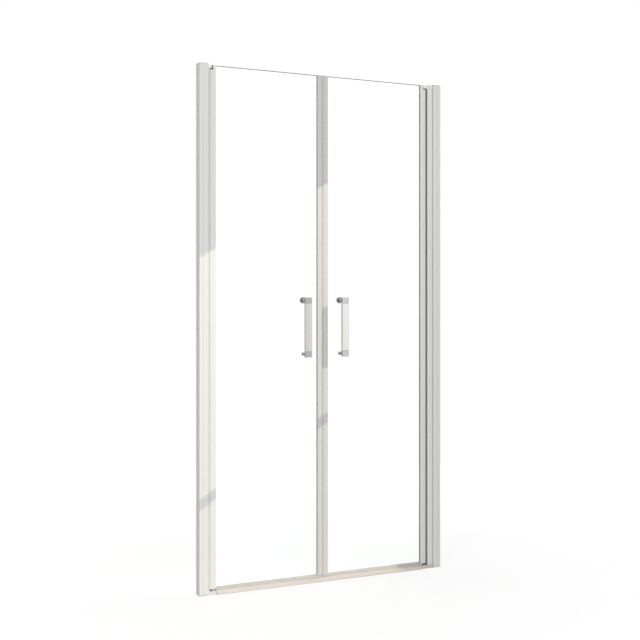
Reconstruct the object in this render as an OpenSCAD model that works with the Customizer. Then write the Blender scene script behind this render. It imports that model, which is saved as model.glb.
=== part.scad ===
// Double pivot shower door: two glass leaves that swing both ways between telescoping wall profiles.
// Origin: middle of the threshold's underside, below the meeting line. X along the door, +Z up.
// The side with the long handles faces -Y. Each side is drawn for +X, and the left side is its mirror.

/* [Door] */
// Height of the wall profiles' tops above the shower tray
door_h = 1900; // [1700:10:2100]
// Distance from the meeting line to each pivot axis
leaf_reach = 444.5; // [340:0.5:560]
// Gap between the two closing profiles
meeting_gap = 2; // [1.4:0.1:5]
// How far jamb heads and glass stay below the wall profiles' tops
head_drop = 3; // [2:0.5:8]

/* [Wall profiles] */
// Width of a wall profile across the front
wall_w = 33; // [32:0.5:45]
// Depth of a wall profile, front to back
wall_d = 36; // [32:0.5:44]
// Thickness of the wall profile's flanges and web
wall_t = 2.2; // [1.6:0.1:2.6]
// Sliding clearance between wall profile and jamb
slide_gap = 0.3; // [0.2:0.05:0.5]
// Clearance under the wall profiles
wall_foot = 2; // [1:0.5:5]
// Thickness of the plastic cap on each wall profile
wall_cap_t = 1.5; // [1:0.1:2]
// Jamb width showing beside the left wall profile
left_reveal = 6; // [6:0.5:26]
// Jamb width showing beside the right wall profile
right_reveal = 23.5; // [6:0.5:26]
// Smallest jamb width that can show
reveal_min = 6; // [5:0.5:8]
// Width adjustment of each wall profile
reveal_travel = 20; // [10:1:20]
// Radius of the wall screw holes
wall_hole_r = 2.75; // [2:0.05:3.5]
// Distance of the outer wall screw holes from the wall profile's ends
wall_hole_end = 150; // [60:5:300]
// Distance of the front groove from the wall profile's inner edge
trim_groove_x = 19; // [10:0.5:28]
// Width of the shallow grooves in the profiles
trim_groove_w = 0.8; // [0.5:0.1:1.5]
// Depth of the shallow grooves in the profiles
trim_groove_d = 0.4; // [0.2:0.1:0.8]

/* [Jambs] */
// Width of a jamb profile, from the leaf into the wall profile
jamb_w = 34.5; // [33.5:0.5:34.5]
// Wall thickness of a jamb profile
jamb_t = 1.8; // [1.2:0.1:2.4]
// Distance of the clamp screws from the jamb's visible face
clamp_x = 30.25; // [29.5:0.25:31]
// Radius of the clamp screws' shanks
clamp_r = 2; // [1.5:0.1:2.5]
// Radius of the clamp screws' heads
clamp_head_r = 4.5; // [3.5:0.1:5]
// Thickness of the clamp screws' heads
clamp_head_t = 2.5; // [1.5:0.1:3.5]
// How far the clamp screws reach in behind the jamb's rear face
clamp_reach = 6; // [4:0.5:9]
// Radius of the bracket screws' shanks
port_screw_r = 1.9; // [1.5:0.1:2.2]
// Wall round each bracket screw in the jamb
port_wall = 1.5; // [1:0.1:2]
// Length of the bracket screws inside the jamb
port_screw_l = 24; // [15:1:40]
// Distance of the bracket screws from the jamb's visible face
port_x = 14.5; // [12.5:0.5:18.5]

/* [Pivots] */
// Radius of the pivot pins
pin_r = 3; // [2.5:0.1:3.5]
// Length of a pivot pin inside the leaf's hinge profile
pin_hold = 30; // [15:1:60]
// Radial running clearance of a pin in its bush
pin_fit = 0.06; // [0.02:0.01:0.1]
// Radial clearance of pieces that are pressed or screwed into a bore
seat_fit = 0.05; // [0.02:0.01:0.1]
// Wall of a pivot bush
bush_wall = 1.5; // [1:0.1:2]
// How far a bush's flange reaches past its sleeve
bush_lip = 1.6; // [1:0.1:2]
// Thickness of a bush's flange
bush_flange_t = 3.2; // [2:0.1:5]
// Metal round the bush in the top bracket's arm
arm_wall = 2; // [1.5:0.1:2.5]
// Thickness of the top bracket
top_arm_t = 12; // [8:0.5:16]
// Running gap between a leaf and the fixed pieces above, below and beside it
run_gap = 0.3; // [0.2:0.05:0.6]
// How far a pivot pin stays inside its bracket
pin_short = 1; // [0.5:0.5:3]
// Length of the bottom bracket's tongue inside the rail
tongue_l = 14; // [8:1:30]
// Clearance of the tongue inside the rail
tongue_gap = 0.3; // [0.1:0.05:0.5]

/* [Leaf hinge profile] */
// Depth of the hinge profile, front to back
leaf_d = 14; // [13.5:0.5:30]
// Distance from the pivot axis to the nose's outer face
nose_out = 7; // [6.5:0.1:8]
// Radius of the nose's corners
nose_r = 4; // [2:0.1:5]
// Wall thickness of the leaf profiles
leaf_t = 1.6; // [1.2:0.1:2]
// Gap between the top bracket's arm and the standing edge of the hinge profile
heel_gap = 0.5; // [0.3:0.05:1]
// Clearance between the swinging nose and the jamb
swing_gap = 0.75; // [0.3:0.05:1]
// Smallest depth of a hollow in a leaf profile, which is solid where there is less room
pocket_min = 1.5; // [1:0.5:3]
// Thickness of the plastic end caps of the leaf profiles
leaf_cap_t = 2; // [1:0.1:3]
// Width of the seal's foot in the nose
seal_foot_w = 3; // [2:0.1:4]
// Depth of the seal's foot in the nose
seal_foot_d = 1.3; // [0.8:0.1:1.5]

/* [Glass] */
// Thickness of the glass
glass_t = 6; // [5:0.5:8]
// Width of the ground arrises along the glass's top and bottom edges
glass_arris = 1.5; // [0.3:0.1:2]
// How deep the glass sits in its two profiles
glass_bite = 9; // [6:0.5:12]
// Thickness of the glazing gaskets
gasket_t = 1; // [0.6:0.1:1.5]
// How far a gasket's lips stand out of the profile
gasket_lip = 0.8; // [0.4:0.1:1.5]

/* [Closing profile] */
// Width of the closing profile across the front
closing_w = 20.6; // [19:0.1:30]
// Depth of the closing profile, front to back
closing_d = 12.5; // [12:0.5:30]
// Width of the magnet seal
magnet_seal_w = 9; // [7:0.1:10]
// Depth of the magnet seal's groove
magnet_groove = 6; // [5:0.1:6.5]
// Gap between the two magnet seals when the leaves are closed
magnet_gap = 0.8; // [0.6:0.1:1.2]
// Skin of the magnet seal round its magnet strip
magnet_skin = 1.2; // [0.8:0.1:1.5]

/* [Threshold rail] */
// Depth of the rail, front to back
rail_d = 40; // [36:0.5:60]
// Height of the rail's front face
rail_front_h = 9; // [6:0.5:11]
// Height of the rail's crest
rail_h = 14.5; // [12.5:0.5:20]
// Width of the flat crest
rail_crest_w = 14; // [12:0.5:20]
// Wall thickness of the rail
rail_t = 1.8; // [1.2:0.1:2.2]

/* [Drip seal] */
// Height of the seal's lips on the glass
drip_lip_h = 5.5; // [3:0.5:10]
// Thickness of the seal's lips
drip_lip_t = 1.2; // [0.8:0.1:1.8]
// Thickness of the seal's base under the glass
drip_base_t = 2; // [1.5:0.1:2.2]
// Clearance between the seal's fins and the crest of the rail
drip_gap = 0.5; // [0.3:0.1:0.9]
// How far the fins spread past the lips
drip_spread = 2.3; // [1:0.1:2.5]

/* [Handles] */
// Distance of each handle from the meeting line
handle_x = 76.5; // [50:0.5:150]
// Height of the handles' middle above the tray
handle_z = 953; // [800:1:1100]
// Distance between the handle's two fixings
handle_pitch = 200; // [120:1:400]
// Width of the handle bar
bar_w = 28.5; // [18:0.5:40]
// Thickness of the handle bar
bar_t = 8; // [5:0.5:12]
// Height of the end blocks
block_h = 22; // [18:0.5:30]
// Distance from the glass to the front of the bar
handle_reach = 43; // [35:0.5:60]
// Radius of the posts behind the end blocks
post_r = 7; // [6:0.1:9]
// Radius of the studs through the glass
stud_r = 3; // [2:0.1:3.5]
// Radius of the holes in the glass
glass_hole_r = 5; // [4.5:0.1:6]
// Thickness of the washers on both sides of the glass
washer_t = 1; // [0.5:0.1:1.5]
// Length of the studs inside the posts
stud_hold = 12; // [8:0.5:20]
// Radius of the inside knob
knob_r = 12.2; // [9:0.1:18]
// Thickness of the inside knob
knob_t = 8; // [7:0.5:15]
// Radius of the knob's rounded edge
knob_edge_r = 1.5; // [0.5:0.1:2.5]
// Depth of the stud inside the knob
knob_hold = 5; // [3:0.5:5.5]
// Radius of the lower screw's cap
cap_r = 6.8; // [5.5:0.1:8]
// Thickness of the lower screw's cap
cap_t = 3; // [1.5:0.1:5]
// Length of the tongues that hold the bar in the end blocks
bar_tongue_l = 8; // [4:0.5:12]
// Wall of an end block round the bar's tongue
bar_tongue_wall = 2; // [1.5:0.1:2.2]

/* [Hidden] */
$fn = 48;
// Overlap that lets a cut pass cleanly through a surface
eps = 1;
// How far a round screw or pin port sinks into the walls beside it
port_merge = 0.5;
// Height of the clamp screws above the wall screws
clamp_raise = 60;

aluminium = [0.84, 0.85, 0.86];
satin = [0.80, 0.80, 0.79];
bright_chrome = [0.72, 0.73, 0.74];
dark_chrome = [0.42, 0.43, 0.44];
steel = [0.66, 0.67, 0.68];
clear_glass = [0.86, 0.93, 0.92, 0.35];
clear_seal = [0.78, 0.79, 0.78];
grey_plastic = [0.62, 0.63, 0.64];
magnet_brown = [0.25, 0.22, 0.20];

// Heights
head_z = door_h - head_drop;
top_arm_z = head_z - top_arm_t;
nose_top_z = top_arm_z - bush_flange_t - run_gap;
leaf_foot_z = rail_h + bush_flange_t + run_gap;
glass_foot_z = leaf_foot_z + leaf_cap_t;
drip_foot_z = rail_h + drip_gap;

// Distances from the pivot axis, in plan
bush_r = pin_r + pin_fit + bush_wall;
bush_flange_r = bush_r + bush_lip;
arm_r = bush_r + seat_fit + arm_wall;
heel = arm_r + heel_gap;
slot_end = heel + leaf_t;
channel_out = slot_end + gasket_t + glass_bite;
nose_sweep = norm([nose_out - nose_r, leaf_d / 2 - nose_r]) + nose_r;
jamb_face = nose_sweep + swing_gap;
seal_bulb_r = (nose_sweep - nose_out) / 2;
nose_room = pin_r + seat_fit + leaf_t;
pin_port_r = nose_room + port_merge;
slot_half = glass_t / 2 + gasket_t;

// Distances from the meeting line, in plan
jamb_x = leaf_reach + jamb_face;
jamb_d = wall_d - 2 * (wall_t + slide_gap);
closing_face = meeting_gap / 2;
closing_back = closing_face + closing_w;
closing_slot = closing_back - glass_bite - gasket_t;
glass_inner = closing_slot + gasket_t;
glass_outer = leaf_reach - slot_end - gasket_t;
hinge_inner = leaf_reach - channel_out;
port_out = port_screw_r + seat_fit + port_wall;
port_y = jamb_d / 2 - jamb_t - port_out + port_merge;
closing_room = max(slot_half, magnet_seal_w / 2) + leaf_t;
magnet_nose_x = magnet_gap / 2;
magnet_back_x = closing_face + magnet_groove;

// Handle depths, measured from the middle of the glass
bar_front_y = glass_t / 2 + handle_reach;
bar_back_y = bar_front_y - bar_t;
post_end_y = glass_t / 2 + washer_t;
bar_z = handle_z - handle_pitch / 2 + block_h / 2;
bar_l = handle_pitch - block_h;
bar_tongue_w = bar_w - 2 * bar_tongue_wall;
bar_tongue_t = bar_t - 2 * bar_tongue_wall;

// Wall screw and clamp screw heights
wall_top_z = door_h - wall_cap_t;
wall_hole_pitch = (door_h - 2 * wall_hole_end) / 2;
fixing_z = [for (i = [0:2]) wall_hole_end + i * wall_hole_pitch];

module on_left() {
    mirror([1, 0, 0]) children();
}

// A block given by its two opposite corners
module block(low, high) {
    translate(low) cube(high - low);
}

// A round bar along Y from y0 to y1
module bar_y(x, z, r, y0, y1) {
    translate([x, y1, z]) rotate([90, 0, 0]) cylinder(h = y1 - y0, r = r);
}

// A rectangle in plan given by two opposite corners
module area(low, high) {
    translate(low) square(high - low);
}

// Wall profile: a channel open towards the leaf, its flanges sliding over the jamb
module wall_section(reveal) {
    edge = jamb_x + reveal;
    back = edge + wall_w;
    difference() {
        area([edge, -wall_d / 2], [back, wall_d / 2]);
        area([edge - eps, -wall_d / 2 + wall_t], [back - wall_t, wall_d / 2 - wall_t]);
        area([edge + trim_groove_x, -wall_d / 2 - eps],
             [edge + trim_groove_x + trim_groove_w, -wall_d / 2 + trim_groove_d]);
    }
}

module wall_profile(reveal) {
    edge = jamb_x + reveal;
    slot_near = clamp_x - reveal_min - reveal_travel;
    slot_far = clamp_x - reveal_min;
    slot_r = clamp_r + slide_gap;
    color(aluminium)
    difference() {
        translate([0, 0, wall_foot])
            linear_extrude(wall_top_z - wall_foot) wall_section(reveal);
        for (z = fixing_z) {
            translate([edge + wall_w - wall_t - eps, 0, z])
                rotate([0, 90, 0]) cylinder(h = wall_t + 2 * eps, r = wall_hole_r);
            bar_y(edge + slot_near, z + clamp_raise, slot_r, wall_d / 2 - wall_t - eps, wall_d / 2 + eps);
            bar_y(edge + slot_far, z + clamp_raise, slot_r, wall_d / 2 - wall_t - eps, wall_d / 2 + eps);
            block([edge + slot_near, wall_d / 2 - wall_t - eps, z + clamp_raise - slot_r],
                  [edge + slot_far, wall_d / 2 + eps, z + clamp_raise + slot_r]);
        }
    }
}

module wall_cap(reveal) {
    edge = jamb_x + reveal;
    color(grey_plastic)
    block([edge, -wall_d / 2, wall_top_z], [edge + wall_w, wall_d / 2, door_h]);
}

// Jamb: a box profile with two screw ports, held between the top and bottom brackets
module jamb_section() {
    difference() {
        union() {
            difference() {
                area([jamb_x, -jamb_d / 2], [jamb_x + jamb_w, jamb_d / 2]);
                area([jamb_x + jamb_t, -jamb_d / 2 + jamb_t],
                     [jamb_x + jamb_w - jamb_t, jamb_d / 2 - jamb_t]);
            }
            for (side = [-1, 1])
                translate([jamb_x + port_x, side * port_y]) circle(r = port_out);
        }
        for (side = [-1, 1])
            translate([jamb_x + port_x, side * port_y]) circle(r = port_screw_r + seat_fit);
    }
}

module jamb_profile() {
    color(aluminium)
    difference() {
        translate([0, 0, rail_h]) linear_extrude(top_arm_z - rail_h) jamb_section();
        for (z = fixing_z)
            bar_y(jamb_x + clamp_x, z + clamp_raise, clamp_r + seat_fit,
                  jamb_d / 2 - jamb_t - eps, jamb_d / 2 + eps);
    }
}

// Screws through the wall profile's rear slots that lock the width
module clamp_screws_side() {
    for (z = fixing_z) {
        bar_y(jamb_x + clamp_x, z + clamp_raise, clamp_r,
              jamb_d / 2 - clamp_reach, wall_d / 2 + slide_gap);
        bar_y(jamb_x + clamp_x, z + clamp_raise, clamp_head_r,
              wall_d / 2 + slide_gap, wall_d / 2 + slide_gap + clamp_head_t);
    }
}

module clamp_screws() {
    color(steel) {
        clamp_screws_side();
        on_left() clamp_screws_side();
    }
}

// One countersunk screw standing on its tip, its head's flat at height 0 and its shank above
module bracket_screw(length) {
    cylinder(h = length, r = port_screw_r);
    cylinder(h = port_screw_r, r1 = 2 * port_screw_r, r2 = port_screw_r);
}

module bracket_hole(length) {
    translate([0, 0, -eps]) cylinder(h = length + 2 * eps, r = port_screw_r + seat_fit);
    cylinder(h = port_screw_r, r1 = 2 * port_screw_r + seat_fit, r2 = port_screw_r + seat_fit);
}

module bracket_screws_side() {
    for (side = [-1, 1])
        translate([jamb_x + port_x, side * port_y, 0]) {
            bracket_screw(rail_h + port_screw_l);
            translate([0, 0, head_z]) mirror([0, 0, 1]) bracket_screw(top_arm_t + port_screw_l);
        }
}

module bracket_screws() {
    color(steel) {
        bracket_screws_side();
        on_left() bracket_screws_side();
    }
}

// Top bracket: a foot on the jamb's end and a slim arm out to the pivot axis
module top_bracket() {
    color(aluminium)
    difference() {
        translate([0, 0, top_arm_z])
        linear_extrude(top_arm_t)
        union() {
            area([jamb_x, -jamb_d / 2], [jamb_x + jamb_w, jamb_d / 2]);
            area([leaf_reach, -arm_r], [jamb_x + eps, arm_r]);
            translate([leaf_reach, 0]) circle(r = arm_r);
        }
        translate([leaf_reach, 0, top_arm_z - eps])
            cylinder(h = top_arm_t + 2 * eps, r = bush_r + seat_fit);
        for (side = [-1, 1])
            translate([jamb_x + port_x, side * port_y, head_z])
                mirror([0, 0, 1]) bracket_hole(top_arm_t);
    }
}

// Bottom bracket: a block under the jamb and the leaf's hinge profile, with a tongue for the rail
module bottom_bracket() {
    color(aluminium)
    difference() {
        union() {
            block([hinge_inner, -jamb_d / 2, 0], [jamb_x + jamb_w, jamb_d / 2, rail_h]);
            block([hinge_inner - tongue_l, -rail_crest_w / 2 + rail_t, rail_t + tongue_gap],
                  [hinge_inner + eps, rail_crest_w / 2 - rail_t, rail_h - rail_t - tongue_gap]);
        }
        translate([leaf_reach, 0, -eps]) cylinder(h = rail_h + 2 * eps, r = bush_r + seat_fit);
        for (side = [-1, 1])
            translate([jamb_x + port_x, side * port_y, 0]) bracket_hole(rail_h);
    }
}

// Rail section drawn with the depth along X and the height along Y
module rail_outline(inset) {
    half = rail_d / 2 - inset;
    crest = rail_crest_w / 2 - inset / 4;
    polygon([
        [-half, inset], [half, inset], [half, rail_front_h - inset / 2],
        [crest, rail_h - inset], [-crest, rail_h - inset], [-half, rail_front_h - inset / 2]
    ]);
}

module threshold_rail() {
    color(aluminium)
    translate([-hinge_inner, 0, 0])
    rotate([90, 0, 90])
    linear_extrude(2 * hinge_inner)
    difference() {
        rail_outline(0);
        rail_outline(rail_t);
    }
}

// Flanged bush whose flange lies between bracket and leaf, drawn with the flange on top
module bush(sleeve_l) {
    color(grey_plastic)
    difference() {
        union() {
            translate([0, 0, -sleeve_l]) cylinder(h = sleeve_l, r = bush_r);
            cylinder(h = bush_flange_t, r = bush_flange_r);
        }
        translate([0, 0, -sleeve_l - eps])
            cylinder(h = sleeve_l + bush_flange_t + 2 * eps, r = pin_r + pin_fit);
    }
}

module top_bush() {
    translate([leaf_reach, 0, top_arm_z]) mirror([0, 0, 1]) bush(top_arm_t);
}

module bottom_bush() {
    translate([leaf_reach, 0, rail_h]) bush(rail_h);
}

// Pivot pins, pressed into the port in the hinge profile's nose
module top_pin() {
    color(steel)
    translate([leaf_reach, 0, nose_top_z - pin_hold])
        cylinder(h = head_z - pin_short - nose_top_z + pin_hold, r = pin_r);
}

module bottom_pin() {
    color(steel)
    translate([leaf_reach, 0, pin_short])
        cylinder(h = leaf_foot_z + pin_hold - pin_short, r = pin_r);
}

// Outline of the hinge profile about the pivot axis, with rounded outer corners
module hinge_outline() {
    half = leaf_d / 2;
    area([-channel_out, -half], [nose_out - nose_r, half]);
    area([nose_out - nose_r - eps, -half + nose_r], [nose_out, half - nose_r]);
    for (side = [-1, 1])
        translate([nose_out - nose_r, side * (half - nose_r)]) circle(r = nose_r);
}

module hinge_section() {
    half = leaf_d / 2;
    difference() {
        hinge_outline();
        area([-channel_out - eps, -slot_half], [-slot_end, slot_half]);
        area([nose_out - seal_foot_d, -seal_foot_w / 2], [nose_out + eps, seal_foot_w / 2]);
        circle(r = pin_r + seat_fit);
        if (half - leaf_t - pin_port_r >= pocket_min)
            difference() {
                area([-nose_room, -half + leaf_t], [nose_room, half - leaf_t]);
                circle(r = pin_port_r);
            }
        for (side = [-1, 1]) {
            translate([-heel, side * half])
                area([-trim_groove_w / 2, -trim_groove_d], [trim_groove_w / 2, trim_groove_d]);
            if (half - slot_half - 2 * leaf_t >= pocket_min)
                area([-channel_out + leaf_t, min(side * (slot_half + leaf_t), side * (half - leaf_t))],
                     [-slot_end, max(side * (slot_half + leaf_t), side * (half - leaf_t))]);
        }
    }
}

module hinge_profile() {
    color(aluminium)
    translate([leaf_reach, 0, 0])
    difference() {
        translate([0, 0, glass_foot_z]) linear_extrude(head_z - glass_foot_z) hinge_section();
        block([-heel, -leaf_d / 2 - eps, nose_top_z - leaf_cap_t],
              [nose_out + eps, leaf_d / 2 + eps, head_z + eps]);
    }
}

// Bulb seal on the nose that fills the gap to the jamb and turns with the leaf
module hinge_seal() {
    color(clear_seal)
    translate([leaf_reach, 0, glass_foot_z])
    linear_extrude(nose_top_z - leaf_cap_t - glass_foot_z) {
        area([nose_out - seal_foot_d, -seal_foot_w / 2], [nose_out + seal_bulb_r, seal_foot_w / 2]);
        translate([nose_out + seal_bulb_r, 0]) circle(r = seal_bulb_r);
    }
}

// Channel liner for the glass, drawn with its back at X = 0 and its mouth towards -X
module gasket_section() {
    difference() {
        area([-gasket_t - glass_bite - gasket_lip, -slot_half], [0, slot_half]);
        area([-gasket_t - glass_bite - gasket_lip - eps, -glass_t / 2], [-gasket_t, glass_t / 2]);
    }
}

module hinge_gasket() {
    color(clear_seal)
    translate([leaf_reach - slot_end, 0, glass_foot_z])
        linear_extrude(head_z - glass_foot_z) gasket_section();
}

module closing_gasket() {
    color(clear_seal)
    translate([closing_slot, 0, glass_foot_z])
        linear_extrude(head_z - glass_foot_z) mirror([1, 0]) gasket_section();
}

module top_hinge_cap() {
    color(grey_plastic)
    translate([leaf_reach, 0, nose_top_z - leaf_cap_t])
    linear_extrude(leaf_cap_t)
    difference() {
        hinge_outline();
        area([-channel_out - eps, -leaf_d / 2 - eps], [-heel, leaf_d / 2 + eps]);
        circle(r = pin_r + seat_fit);
    }
}

module bottom_hinge_cap() {
    color(grey_plastic)
    translate([leaf_reach, 0, leaf_foot_z])
    linear_extrude(leaf_cap_t)
    difference() {
        hinge_outline();
        circle(r = pin_r + seat_fit);
    }
}

// Glass section drawn with the depth along X and the height along Y
module glass_section() {
    face = glass_t / 2;
    edge = face - glass_arris;
    polygon([
        [-edge, glass_foot_z], [edge, glass_foot_z],
        [face, glass_foot_z + glass_arris], [face, head_z - glass_arris],
        [edge, head_z], [-edge, head_z],
        [-face, head_z - glass_arris], [-face, glass_foot_z + glass_arris]
    ]);
}

module glass_panel() {
    color(clear_glass)
    difference() {
        translate([glass_inner, 0, 0])
            rotate([90, 0, 90])
            linear_extrude(glass_outer - glass_inner) glass_section();
        for (side = [-1, 1])
            bar_y(handle_x, handle_z + side * handle_pitch / 2, glass_hole_r,
                  -glass_t / 2 - eps, glass_t / 2 + eps);
    }
}

// Closing profile: glass channel on one side, groove for the magnet seal on the other
module closing_section() {
    half = closing_d / 2;
    difference() {
        area([closing_face, -half], [closing_back, half]);
        area([closing_slot, -slot_half], [closing_back + eps, slot_half]);
        area([closing_face - eps, -magnet_seal_w / 2], [closing_face + magnet_groove, magnet_seal_w / 2]);
        if (half - leaf_t - closing_room >= pocket_min)
            for (side = [-1, 1])
                area([closing_face + leaf_t, min(side * closing_room, side * (half - leaf_t))],
                     [closing_back - leaf_t, max(side * closing_room, side * (half - leaf_t))]);
    }
}

module closing_profile() {
    color(aluminium)
    translate([0, 0, glass_foot_z + leaf_cap_t])
        linear_extrude(head_z - glass_foot_z - 2 * leaf_cap_t) closing_section();
}

module closing_cap(z) {
    color(grey_plastic)
    block([closing_face, -closing_d / 2, z], [closing_slot, closing_d / 2, z + leaf_cap_t]);
}

module closing_top_cap() {
    closing_cap(head_z - leaf_cap_t);
}

module closing_bottom_cap() {
    closing_cap(glass_foot_z);
}

// Magnet seal: a soft box clipped into the groove, with the magnet strip inside
module magnet_pocket(fit) {
    area([magnet_nose_x + magnet_skin + fit, -magnet_seal_w / 2 + magnet_skin + fit],
         [magnet_back_x - magnet_skin - fit, magnet_seal_w / 2 - magnet_skin - fit]);
}

module magnet_seal() {
    color(clear_seal)
    translate([0, 0, glass_foot_z + leaf_cap_t])
    linear_extrude(head_z - glass_foot_z - 2 * leaf_cap_t)
    difference() {
        area([magnet_nose_x, -magnet_seal_w / 2], [magnet_back_x, magnet_seal_w / 2]);
        magnet_pocket(0);
    }
}

module magnet_strip() {
    color(magnet_brown)
    translate([0, 0, glass_foot_z + leaf_cap_t])
        linear_extrude(head_z - glass_foot_z - 2 * leaf_cap_t) magnet_pocket(seat_fit);
}

// Drip seal section drawn with the depth along X and the height along Y: lips, base and two fins
module drip_outline() {
    grip = glass_t / 2;
    side = grip + drip_lip_t;
    fin_top = glass_foot_z - drip_base_t / 2;
    base_z = glass_foot_z - drip_base_t;
    fin_root = grip + drip_spread * (fin_top - base_z) / (fin_top - drip_foot_z);
    right = [
        [grip, glass_foot_z], [grip, glass_foot_z + drip_lip_h], [side, glass_foot_z + drip_lip_h],
        [side, fin_top], [side + drip_spread, drip_foot_z], [grip + drip_spread, drip_foot_z],
        [fin_root, base_z]
    ];
    left = [for (i = [len(right) - 1:-1:0]) [-right[i][0], right[i][1]]];
    polygon(concat(right, left));
}

module drip_seal() {
    color(clear_seal)
    difference() {
        translate([closing_face, 0, 0])
        rotate([90, 0, 90])
        linear_extrude(hinge_inner - run_gap - closing_face) drip_outline();
        block([closing_face - eps, -closing_d, glass_foot_z],
              [closing_back + gasket_lip + run_gap, closing_d, glass_foot_z + drip_lip_h + eps]);
        block([hinge_inner - gasket_lip - run_gap, -leaf_d, glass_foot_z],
              [hinge_inner + eps, leaf_d, glass_foot_z + drip_lip_h + eps]);
    }
}

// Handle: a flat bar held by its tongues between two end blocks with round posts
module handle_bar() {
    color(satin) {
        block([handle_x - bar_w / 2, -bar_front_y, bar_z],
              [handle_x + bar_w / 2, -bar_back_y, bar_z + bar_l]);
        block([handle_x - bar_tongue_w / 2, -bar_front_y + bar_tongue_wall, bar_z - bar_tongue_l],
              [handle_x + bar_tongue_w / 2, -bar_back_y - bar_tongue_wall, bar_z + bar_l + bar_tongue_l]);
    }
}

// End block whose post lies on the line z = 0, with the bar's side up
module end_block() {
    color(bright_chrome)
    difference() {
        union() {
            block([handle_x - bar_w / 2, -bar_front_y, -block_h / 2],
                  [handle_x + bar_w / 2, -bar_back_y, block_h / 2]);
            bar_y(handle_x, 0, post_r, -bar_back_y - eps, -post_end_y);
        }
        block([handle_x - bar_tongue_w / 2, -bar_front_y + bar_tongue_wall, block_h / 2 - bar_tongue_l],
              [handle_x + bar_tongue_w / 2, -bar_back_y - bar_tongue_wall, block_h / 2 + eps]);
        bar_y(handle_x, 0, stud_r + seat_fit, -post_end_y - stud_hold, -post_end_y + eps);
    }
}

module handle_bottom_block() {
    translate([0, 0, handle_z - handle_pitch / 2]) end_block();
}

module handle_top_block() {
    translate([0, 0, handle_z + handle_pitch / 2]) mirror([0, 0, 1]) end_block();
}

// The upper stud ends in the knob, the lower screw has a flat cap of its own
module handle_screws() {
    color(steel) {
        bar_y(handle_x, handle_z + handle_pitch / 2, stud_r,
              -post_end_y - stud_hold, post_end_y + knob_hold);
        bar_y(handle_x, handle_z - handle_pitch / 2, stud_r, -post_end_y - stud_hold, post_end_y);
        bar_y(handle_x, handle_z - handle_pitch / 2, cap_r, post_end_y, post_end_y + cap_t);
    }
}

// Soft washers: the front ones have a sleeve that keeps the stud off the glass
module handle_washers() {
    sleeve_r = glass_hole_r - 2 * seat_fit;
    bore_r = stud_r + seat_fit;
    color(clear_seal)
    for (side = [-1, 1]) {
        z = handle_z + side * handle_pitch / 2;
        difference() {
            union() {
                bar_y(handle_x, z, post_r, -post_end_y, -glass_t / 2);
                bar_y(handle_x, z, sleeve_r, -glass_t / 2 - washer_t / 2, glass_t / 2 - washer_t);
            }
            bar_y(handle_x, z, bore_r, -post_end_y - eps, glass_t / 2 + eps);
        }
        difference() {
            bar_y(handle_x, z, cap_r, glass_t / 2, post_end_y);
            bar_y(handle_x, z, bore_r, glass_t / 2 - eps, post_end_y + eps);
        }
    }
}

module inner_knob() {
    color(dark_chrome)
    translate([handle_x, post_end_y, handle_z + handle_pitch / 2])
    rotate([-90, 0, 0])
    difference() {
        rotate_extrude() {
            square([knob_r, knob_t - knob_edge_r]);
            square([knob_r - knob_edge_r, knob_t]);
            translate([knob_r - knob_edge_r, knob_t - knob_edge_r]) circle(r = knob_edge_r);
        }
        translate([0, 0, -eps]) cylinder(h = knob_hold + eps, r = stud_r + seat_fit);
    }
}

module left_wall_profile() { on_left() wall_profile(left_reveal); }
module right_wall_profile() { wall_profile(right_reveal); }
module left_wall_cap() { on_left() wall_cap(left_reveal); }
module right_wall_cap() { wall_cap(right_reveal); }
module left_jamb_profile() { on_left() jamb_profile(); }
module right_jamb_profile() { jamb_profile(); }
module left_top_bracket() { on_left() top_bracket(); }
module right_top_bracket() { top_bracket(); }
module left_bottom_bracket() { on_left() bottom_bracket(); }
module right_bottom_bracket() { bottom_bracket(); }
module left_top_bush() { on_left() top_bush(); }
module right_top_bush() { top_bush(); }
module left_bottom_bush() { on_left() bottom_bush(); }
module right_bottom_bush() { bottom_bush(); }
module left_hinge_profile() { on_left() hinge_profile(); }
module right_hinge_profile() { hinge_profile(); }
module left_hinge_seal() { on_left() hinge_seal(); }
module right_hinge_seal() { hinge_seal(); }
module left_hinge_gasket() { on_left() hinge_gasket(); }
module right_hinge_gasket() { hinge_gasket(); }
module left_top_pin() { on_left() top_pin(); }
module right_top_pin() { top_pin(); }
module left_bottom_pin() { on_left() bottom_pin(); }
module right_bottom_pin() { bottom_pin(); }
module left_top_hinge_cap() { on_left() top_hinge_cap(); }
module right_top_hinge_cap() { top_hinge_cap(); }
module left_bottom_hinge_cap() { on_left() bottom_hinge_cap(); }
module right_bottom_hinge_cap() { bottom_hinge_cap(); }
module left_glass_panel() { on_left() glass_panel(); }
module right_glass_panel() { glass_panel(); }
module left_closing_gasket() { on_left() closing_gasket(); }
module right_closing_gasket() { closing_gasket(); }
module left_closing_profile() { on_left() closing_profile(); }
module right_closing_profile() { closing_profile(); }
module left_magnet_seal() { on_left() magnet_seal(); }
module right_magnet_seal() { magnet_seal(); }
module left_magnet_strip() { on_left() magnet_strip(); }
module right_magnet_strip() { magnet_strip(); }
module left_closing_top_cap() { on_left() closing_top_cap(); }
module right_closing_top_cap() { closing_top_cap(); }
module left_closing_bottom_cap() { on_left() closing_bottom_cap(); }
module right_closing_bottom_cap() { closing_bottom_cap(); }
module left_drip_seal() { on_left() drip_seal(); }
module right_drip_seal() { drip_seal(); }
module left_handle_bar() { on_left() handle_bar(); }
module right_handle_bar() { handle_bar(); }
module left_handle_top_block() { on_left() handle_top_block(); }
module right_handle_top_block() { handle_top_block(); }
module left_handle_bottom_block() { on_left() handle_bottom_block(); }
module right_handle_bottom_block() { handle_bottom_block(); }
module left_handle_screws() { on_left() handle_screws(); }
module right_handle_screws() { handle_screws(); }
module left_handle_washers() { on_left() handle_washers(); }
module right_handle_washers() { handle_washers(); }
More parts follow.
